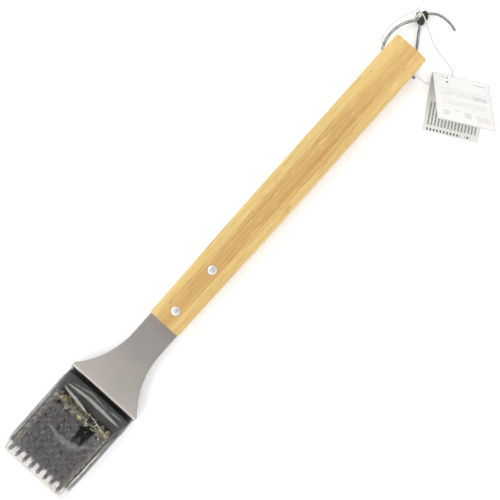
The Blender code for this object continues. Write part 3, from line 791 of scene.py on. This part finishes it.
def make_rivets(look):
    """Low domed heads with a fine turned rim, top and bottom, on one shank."""
    half = HANDLE_HALF_THICKNESS + 0.5 * MM
    dome = [(0.2, 0.0), (1.5, 0.03), (2.5, 0.09), (3.1, 0.19), (3.5, 0.33), (3.75, 0.55)]
    profile = [(r * MM, -half + z * MM) for r, z in dome + [(3.75, 1.2), (2.3, 1.2)]]
    profile += [(r, -z) for r, z in reversed(profile)]
    for node, x in RIVETS.items():
        piece = add_piece(node + "_domed", turned(node, profile, 48, (x, 0, HANDLE_MID_Z)), look, 50)
        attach(piece, "brush")
        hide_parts(node)
    for node in BLOCK_RIVETS:
        low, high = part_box(node)
        x = (low.x + high.x) / 2
        profile = [(3.6, 0.1), (3.95, 0.2), (2.0, 1.2), (2.0, 9.5)]
        mesh = turned(node, [(r * MM, z * MM) for r, z in profile], 48, (x, 0, 0))
        piece = add_piece(node + "_sunk", mesh, look, 40)
        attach(piece, "brush")
        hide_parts(node)


# ---- steel plate

SHEET = 1.5 * MM
EASE = 0.3 * MM  # the radius along its cut edges
BEND = 2.25 * MM
NECK_HALF, PLATE_HALF = 14.0 * MM, 33 * MM
FLARE_RADIUS, FLARE_START_X = 72 * MM, -83.4 * MM
TANG_END_X, TANG_CORNER = 11.6 * MM, 3 * MM
STEP_X = -136.1 * MM
FLAT_START_X, FLAT_END_X = -143.4 * MM, -221.5 * MM
LIP_X, LIP_CORNER = -227 * MM, 5 * MM


def plate_path():
    """(x, z, normal x, normal z, half width) along the sheet's middle, from tang to lip."""
    steps = [(TANG_END_X - TANG_CORNER * c, NECK_HALF - TANG_CORNER * s) for c, s in quarter(8)]
    steps += [(x, NECK_HALF) for x in np.linspace(0, FLARE_START_X + 2 * MM, 10)]
    reach = math.sqrt(FLARE_RADIUS**2 - (FLARE_RADIUS - PLATE_HALF + NECK_HALF) ** 2)
    for along in np.linspace(0, reach, 40):
        half = NECK_HALF + FLARE_RADIUS - math.sqrt(FLARE_RADIUS**2 - along**2)
        steps.append((FLARE_START_X - along, half))
    path = [(x, HANDLE_MID_Z, 0.0, 1.0, half) for x, half in steps]
    for c, s in quarter(13):
        path.append((STEP_X + BEND * s, HANDLE_MID_Z - BEND * c, s - 1, 1 - c, PLATE_HALF))
    for c, s in quarter(13):
        path.append((STEP_X - BEND * c, SHEET / 2 + BEND * s, c - 1, 1 - s, PLATE_HALF))
    path += [(x, SHEET / 2, 0.0, 1.0, PLATE_HALF) for x in np.linspace(FLAT_START_X, FLAT_END_X, 12)]
    for c, s in quarter(9):
        path.append((LIP_X + LIP_CORNER * s, SHEET / 2, 0.0, 1.0, PLATE_HALF - LIP_CORNER * c))
    return path


def make_plate(look):
    """One stamping: tang, neck, flare, step, plate and scraper lip, its cut edges eased."""
    rings = []
    for x, z, nx, nz, half in plate_path():
        ring = []
        for side, height in ((-1, 1), (1, 1), (1, -1), (-1, -1)):
            flat = height * SHEET / 2
            # The first point keeps the wide face's shading flat
            corner = [(x + nx * flat, side * (half - 2 * EASE), z + nz * flat)]
            for c, s in quarter(4):
                up = height * (SHEET / 2 - EASE * c)
                corner.append((x + nx * up, side * (half - EASE * s), z + nz * up))
            ring += corner if side * height > 0 else corner[::-1]
        rings.append(ring)
    tools = []
    for node in BLOCK_RIVETS:
        low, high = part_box(node)
        sunk = [(5.8, -1.5), (4.3, 0.0), (2.3, 1.2), (2.3, 4.5)]
        profile = [(r * MM, z * MM) for r, z in sunk]
        tools.append(turned("sink", profile, 48, ((low.x + high.x) / 2, 0, 0)))
    for x in RIVETS.values():
        tools.append(turned("shank", [(2.7 * MM, 9 * MM), (2.7 * MM, 16 * MM)], 32, (x, 0, 0)))
    mesh = modified(loft("plate_steel", rings), *(minus(tool) for tool in tools))
    piece = add_piece("plate_steel", mesh, look, 32)
    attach(piece, "brush")
    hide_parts("head_plate")


# ---- block and wire tufts

BLOCK_LOW, BLOCK_HIGH = Vector((-210.85, -31.5, 1.8)) * MM, Vector((-139.75, 31.5, 13.8)) * MM
ROWS, TUFTS = 9, 8
ROW_PITCH, TUFT_PITCH, FIRST_ROW_X = 6.49 * MM, 6.87 * MM, -207.15 * MM
TUFT_HOLE = 1.45 * MM
TUFT_ROOT_RADIUS, TUFT_ROOT_Z = 1.15 * MM, 11 * MM
WIRES = 60
WIRE_HALF = 0.15 * MM
CRIMP = 0.14 * MM
GOLDEN_ANGLE = 2.399963
SQUARE = [(1, 0), (0, 1), (-1, 0), (0, -1)]
SPLAY = 3.9  # reach of a tuft's outer tips in millimetres
FRONT_SPLAY = 1.5
STRAYS = 6  # bent wires at each tuft of the rear row
STRAY_HALF = 0.24 * MM
STRAY_WALL_X = -154 * MM  # where the wrap turns down behind them
RIM_HALF_WIDTH = 26.9 * MM  # the wrap holds the outer tufts in
TIP_Z = 33.8 * MM
# Tufts that the wrap has pushed out of line: (row, tuft): (lean x, lean y, spread, height)
BENT_TUFTS = {
    (8, 7): (0.6, -0.4, 1.0, 0.92),
    (8, 6): (1.4, -1.2, 1.3, 0.84),
    (8, 5): (0.8, -1.8, 1.5, 0.88),
    (8, 4): (0.4, -0.8, 1.4, 0.93),
    (8, 3): (-0.2, 1.6, 1.1, 0.95),
    (8, 2): (0, 0, 0.3, 0.03),
    (8, 1): (1.2, -1.6, 0.9, 0.9),
    (8, 0): (0.4, 0.2, 1.0, 0.95),
    (7, 3): (-0.4, 1.6, 0.75, 0.95),
    (7, 2): (0, 0, 0.3, 0.03),
    (7, 1): (-0.2, -2.0, 0.75, 0.95),
    (6, 3): (-0.2, 1.0, 0.85, 1.0),
    (6, 2): (0, 0, 0.3, 0.03),
    (6, 1): (0.6, -1.4, 0.85, 1.0),
    (5, 2): (-0.6, 0.6, 1.0, 1.0),
}


def tuft_place(row, tuft):
    return FIRST_ROW_X + row * ROW_PITCH, (tuft - (TUFTS - 1) / 2) * TUFT_PITCH


def make_block(look):
    """A moulded block with a drilled hole for each tuft."""
    bevel = ("BEVEL", {"width": 0.8 * MM, "segments": 4})
    body = modified(box_mesh("block", BLOCK_LOW, BLOCK_HIGH), bevel)
    drills = []
    for row in range(ROWS):
        for tuft in range(TUFTS):
            x, y = tuft_place(row, tuft)
            profile = [(0, 10.5), (0, 13.5), (0.4, 13.9), (0.4, 15)]
            profile = [(TUFT_HOLE + wider * MM, z * MM) for wider, z in profile]
            drills.append(turned("drill", profile, 16, (x, y, 0)))
    mesh = modified(body, minus(joined(drills)))
    piece = add_piece("block_body", mesh, look, 40)
    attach(piece, "brush")
    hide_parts("brush_block")


def wire_rings(root, tip, height, plane, phase):
    """The square rings of one crimped wire, which stands up close to its neighbours and then splays."""
    corners = [plane + c * math.pi / 2 for c in range(4)]
    square = [Vector((math.cos(a), math.sin(a), 0)) * WIRE_HALF for a in corners]
    crimp = Vector((math.cos(plane), math.sin(plane), 0)) * CRIMP
    rings = []
    for step in range(13):
        t = step / 12
        share = min(1.0, max(0.0, t - 0.12) / 0.7)
        share = share * share * (3 - 2 * share)
        centre = Vector((root.x + (tip.x - root.x) * share, root.y + (tip.y - root.y) * share, 0))
        centre.z = root.z + (tip.z - root.z) * t
        centre += crimp * (math.sin(phase + t * 22 * height) * min(1, 4 * t))
        rings.append([centre + corner for corner in square])
    return rings


def tuft_wires(row, tuft, draw):
    """The rings of each of a tuft's wires."""
    x, y = tuft_place(row, tuft)
    lean_x, lean_y, spread, height = BENT_TUFTS.get((row, tuft), (0, 0, 1, 1))
    lean_x += draw.gauss(0, 0.3)
    lean_y += draw.gauss(0, 0.3)
    edge = RIM_HALF_WIDTH / MM
    wires = []
    for k in range(WIRES):
        radius, turn = math.sqrt((k + 0.5) / WIRES), k * GOLDEN_ANGLE
        ux, uy = radius * math.cos(turn), radius * math.sin(turn)
        root = Vector((x + ux * TUFT_ROOT_RADIUS, y + uy * TUFT_ROOT_RADIUS, TUFT_ROOT_Z))
        out = spread * (FRONT_SPLAY if row == 0 else SPLAY) * draw.uniform(0.92, 1.08)
        tip_x = x / MM + ux * out + lean_x
        if row == ROWS - 1:
            tip_x = x / MM + (ux * out + lean_x) * 0.6
        tip_y = y / MM + uy * out + lean_y
        if abs(tip_y) > edge - 1:
            tip_y = math.copysign(edge - 1 + min(1.0, 0.4 * (abs(tip_y) - edge + 1)), tip_y)
        tip_z = root.z + (TIP_Z - root.z) * height - abs(draw.gauss(0, 0.3)) * MM
        tip = Vector((tip_x * MM, tip_y * MM, tip_z))
        wires.append(wire_rings(root, tip, height, draw.uniform(0, math.tau), draw.uniform(0, math.tau)))
    return wires


def stray_wire(draw, tuft):
    """The square rings of a wire of the rear row, bent over and lying out under the wrap."""
    x, y = tuft_place(ROWS - 1, tuft)
    turn = draw.uniform(-2.4, 2.4)
    reach = draw.uniform(3.0, 7.5) * MM
    slant = Vector((-math.sin(turn), math.cos(turn), 0))
    rings = []
    for step in range(11):
        t = step / 10
        out = reach * t * t
        px = x + out * math.cos(turn) * 0.8
        py = max(-RIM_HALF_WIDTH, min(RIM_HALF_WIDTH, y + out * math.sin(turn)))
        wall = TIP_Z - 0.3 * MM - max(0.0, px - STRAY_WALL_X) * 1.5
        pz = min(20 * MM + 13.5 * MM * math.sin(t * math.pi / 2), wall)
        centre = Vector((px, py, pz))
        rings.append([centre + (slant * a + Vector((0, 0, b))) * STRAY_HALF for a, b in SQUARE])
    return rings


def add_tube(rings, points, faces):
    """Adds a four-sided tube through rings to points and faces."""
    start = len(points)
    points += [point for ring in rings for point in ring]
    for k in range(len(rings) - 1):
        for i in range(4):
            a, b = start + 4 * k + i, start + 4 * k + (i + 1) % 4
            faces.append((a, b, b + 4, a + 4))
    last = start + 4 * (len(rings) - 1)
    faces.append((start + 3, start + 2, start + 1, start))
    faces.append((last, last + 1, last + 2, last + 3))


def make_tufts(look):
    draw = random.Random(7)
    for row in range(ROWS):
        points, faces = [], []
        for tuft in range(TUFTS):
            for rings in tuft_wires(row, tuft, draw):
                add_tube(rings, points, faces)
            if row == ROWS - 1:
                for _ in range(STRAYS):
                    add_tube(stray_wire(draw, tuft), points, faces)
        name = f"wire_row_{row + 1}"
        piece = add_piece(name, turned_outward(mesh_of(name, points, faces)), look, 50)
        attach(piece, "brush")
        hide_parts(f"bristle_row_{row + 1}")


# ---- clear film

# From the middle outwards: (share, front x, rear x, half width, height)
FILM_PROFILE = [
    (0, -181.2, -181.2, 0, 34.55),
    (0.5, -207, -155.4, 25.2, 34.55),
    (0.55, -209, -153.4, 27.2, 34.35),
    (0.57, -209.6, -152.7, 27.8, 33.7),
    (0.84, -211.4, -139.8, 31.9, 14.9),
    (0.86, -211.6, -139.2, 32.25, 14),
    (1, -211.65, -139.05, 32.3, 2),
]
# Folds with a painted highlight: points (x, y), half width, lift, painted highlight strength
FILM_FOLDS = [
    ([(-147.2, 24.6), (-148.4, 14.0), (-150.2, -2.0)], 1.0, 0.5, 1.05),
    ([(-149.4, -2.3), (-151.0, -13.0), (-152.9, -24.8)], 0.35, 0.4, 1.1),
    ([(-145.0, 24.0), (-144.0, 5.0), (-144.2, -10.0), (-144.9, -27.4)], 1.2, 0.5, 0.9),
    ([(-143.2, 21.0), (-140.9, 5.7), (-142.2, -11.4)], 0.6, 0.3, 0.4),
    ([(-141.6, -14.0), (-141.4, -26.4)], 0.5, 0.3, 0.6),
    ([(-172.6, 14.5), (-175.3, 3.0), (-175.1, -7.9), (-172.0, -14.5), (-166.0, -19.8)], 2.8, 0.35, 0.26),
    ([(-206.6, -27.8), (-190.0, -28.4), (-164.0, -28.9)], 0.6, 0.2, 1.9),
    ([(-209.0, 30.9), (-176.0, 31.2), (-142.0, 31.2)], 0.35, 0.1, 1.0),
]
FILM_CELLS = 240
CRUMPLE, FINE_CRUMPLE = 95, 320  # noise cells to a metre
REAR_WALL_X = -154.4 * MM
FOLDS_ABOVE = 12 * MM


def fold_strength(x, y, route, half_width):
    """How much of a fold is at each point: 1 on its line, fading to its width, tapering to both ends."""
    line = np.array(route) * MM
    steps = np.linalg.norm(np.diff(line, axis=0), axis=1)
    total, done = steps.sum(), 0.0
    strength = np.zeros(x.shape)
    for a, b, step in zip(line, line[1:], steps):
        t = np.clip(((x - a[0]) * (b - a)[0] + (y - a[1]) * (b - a)[1]) / step**2, 0, 1)
        away = np.hypot(x - a[0] - t * (b - a)[0], y - a[1] - t * (b - a)[1])
        share = (done + t * step) / total
        width = half_width * MM * (0.15 + np.sin(np.pi * np.clip(share, 0, 1)) ** 0.7)
        strength = np.maximum(strength, np.clip(1.6 * (1 - away / width), 0, 1))
        done += step
    return strength * strength * (3 - 2 * strength)


def make_film(look):
    """A thin wrap over tufts and block, crumpled, with long folds behind the last row, and painted
    highlights and painted shade along its folds, rims and creases.
    """
    side = np.linspace(-1, 1, FILM_CELLS + 1)
    a, b = np.meshgrid(side, side, indexing="ij")
    share = np.maximum(np.maximum(abs(a), abs(b)), 1e-9)
    table = np.array(FILM_PROFILE)
    front, rear, half, z = (np.interp(share, table[:, 0], table[:, i]) * MM for i in (1, 2, 3, 4))
    sx, sy = a / share, b / share
    ease = 1 - 0.035 * (abs(sx * sy)) ** 8
    x = (front + rear) / 2 + (rear - front) / 2 * sx * ease
    y = half * sy * ease
    base = np.stack([x, y, z], axis=-1)
    du, dv = np.gradient(base, axis=0), np.gradient(base, axis=1)
    normal = np.cross(du, dv)
    normal /= np.linalg.norm(normal, axis=-1, keepdims=True) + 1e-12
    places = [Vector(p) for p in base.reshape(-1, 3)]
    folds = [1 - 2 * abs(noise.noise(p * CRUMPLE)) + 0.5 * noise.noise(p * FINE_CRUMPLE) for p in places]
    crumple = np.array(folds).reshape(share.shape)
    on_wall = np.clip((share - 0.5) / 0.08, 0, 1) * np.clip((1 - share) / 0.1, 0, 1)
    at_rear = np.clip((x - REAR_WALL_X) / 0.004, 0, 1) * on_wall
    lift = crumple * (0.12 + 0.25 * on_wall + 0.35 * at_rear) * MM
    # Painted highlights and painted shade: light and dark lines along the rims, corners and ridges, and a
    # faint painted haze at the rear.
    top_rim = np.exp(-(((share - 0.56) / 0.008) ** 2))
    skirt = np.exp(-(((share - 0.99) / 0.012) ** 2))
    corner = np.exp(-(((abs(a) - abs(b)) / 0.02) ** 2)) * on_wall
    milk_and_highlight = np.maximum.reduce([0.02 * at_rear, 0.35 * top_rim, 0.6 * skirt, 0.35 * corner])
    ridge = np.clip((crumple - 0.8) / 0.3, 0, 1) * on_wall
    crease_shade = np.maximum.reduce([0.5 * ridge, 0.6 * top_rim, 0.8 * skirt, 0.7 * corner])
    for route, half_width, raised, shine in FILM_FOLDS:
        strength = fold_strength(x, y, route, half_width) * (z > FOLDS_ABOVE)
        lift += strength * raised * MM
        milk_and_highlight = np.maximum(milk_and_highlight, strength * shine)
    points = base + normal * lift[..., None]
    n = FILM_CELLS + 1
    index = np.arange(n * n).reshape(n, n)
    faces = np.stack([index[:-1, :-1], index[1:, :-1], index[1:, 1:], index[:-1, 1:]], axis=-1)
    mesh = mesh_of("film_wrap", points.reshape(-1, 3), faces.reshape(-1, 4))
    for name, values in (("milk_and_highlight", milk_and_highlight), ("crease_shade", crease_shade)):
        layer = mesh.attributes.new(name, "FLOAT", "POINT")
        layer.data.foreach_set("value", values.astype(np.float32).ravel())
    piece = add_piece("film_wrap", mesh, look, 180)
    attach(piece, "cover")
    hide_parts("clear_cover")


# ---- swing tag

CARD = 0.35 * MM
LEAF = 46 * MM
FOLD_START = Vector((230.0, -25.2, 1.8)) * MM
ALONG = Vector((0.479, -0.878, 0)).normalized()
FLAT = Vector((-0.878, -0.479, 0)).normalized()
BLANK = (0.5, 0.2)  # a place on the leaves where nothing is printed
LEAF_CELLS = 24
# From the fold's start, in millimetres: along the fold, away from it and up
BACK_LEAF_DROP, FRONT_LEAF_RISE = (3.2, 46.8, -1.4), (6.9, 41.6, 23.2)


def leaf_mesh(name, start, down, curl):
    """A card leaf from start: LEAF along the fold and down its length, bowed by curl in the middle."""
    across = ALONG * LEAF
    up = across.cross(down).normalized()
    if up.z < 0:
        up = -up
    count, n = LEAF_CELLS, LEAF_CELLS + 1
    tops, bottoms = [], []
    for i in range(n):
        for j in range(n):
            s, t = i / count, j / count
            bow = curl * math.sin(math.pi * t) * (0.75 + 0.25 * math.cos(math.pi * (2 * s - 1)))
            point = start + across * s + down * t + up * bow
            bottoms.append(point)
            tops.append(point + up * CARD)
    faces, size = [], n * n
    for i in range(count):
        for j in range(count):
            a, b, c, d = i * n + j, (i + 1) * n + j, (i + 1) * n + j + 1, i * n + j + 1
            faces += [(a, b, c, d), (a + size, d + size, c + size, b + size)]
    rim = [i * n for i in range(n)] + [count * n + j for j in range(1, n)]
    rim += [i * n + count for i in range(count - 1, -1, -1)] + [j for j in range(count - 1, 0, -1)]
    for a, b in zip(rim, rim[1:] + rim[:1]):
        faces.append((a, b, b + size, a + size))
    mesh = turned_outward(mesh_of(name, bottoms + tops, faces))
    leaf_uv(mesh, start, down)
    return mesh


def leaf_uv(mesh, start, down):
    """u along the fold and v down the leaf's upper face, both from 0 to 1. The rest is left blank."""
    uv = mesh.uv_layers.new(name="leaf")
    side = Vector((ALONG.x, ALONG.y, 0))
    skew = down.dot(side)
    rest = down - side * skew
    for face in mesh.polygons:
        for loop in face.loop_indices:
            point = mesh.vertices[mesh.loops[loop].vertex_index].co - start
            v = point.dot(rest) / rest.length_squared
            printed = face.normal.z > 0.3
            uv.data[loop].uv = ((point.dot(side) - skew * v) / LEAF, v) if printed else BLANK


def tag_offset(along, away, up):
    return (ALONG * along + FLAT * away + Vector((0, 0, up))) * MM


def make_tag(back_look, front_look):
    start = FOLD_START + FLAT * 0.3 * MM - Vector((0, 0, CARD))
    mesh = leaf_mesh("tag_back_leaf", start, tag_offset(*BACK_LEAF_DROP), 0.25 * MM)
    at = FOLD_START + tag_offset(16.5, 6, 0)
    hole = turned("hole", [(2.1 * MM, -4 * MM), (2.1 * MM, 4 * MM)], 32, tuple(at))
    mesh = modified(mesh, minus(hole))
    back = add_piece("tag_back_leaf", mesh, back_look, 40)
    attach(back, "hang_loop")
    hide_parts("tag_back")

    start = FOLD_START + tag_offset(0, 0, 0.3)
    mesh = leaf_mesh("tag_front_leaf", start, tag_offset(*FRONT_LEAF_RISE), 0.8 * MM)
    front = add_piece("tag_front_leaf", mesh, front_look, 40)
    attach(front, "tag_leaf")
    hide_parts("tag_front")


# ---- the scene


def make_floor(look):
    corners = [(a * FLOOR_HALF, b * FLOOR_HALF, 0) for a, b in ((-1, -1), (1, -1), (1, 1), (-1, 1))]
    add_piece("floor", mesh_of("floor", corners, [(0, 1, 2, 3)]), look)


set_camera()
set_world()
add_softbox("key", (-0.25, 1.0, 1.5), (0, 0, 0), (0.9, 0.9), 5)
add_softbox("head_light", (-0.9, 0.1, 1.0), (-0.15, 0, 0), (0.5, 0.5), 1.5)

leather, thread = leather_look(), thread_look()
make_cords(leather, knot_look(), thread)
make_floor(floor_look())
make_handle(wood_look())
aluminium = aluminium_look()
make_rivets(aluminium)
make_plate(steel_look())
make_block(plastic_look())
make_tufts(brass_look())
make_film(film_look())
make_tag(back_card_look(), front_card_look())
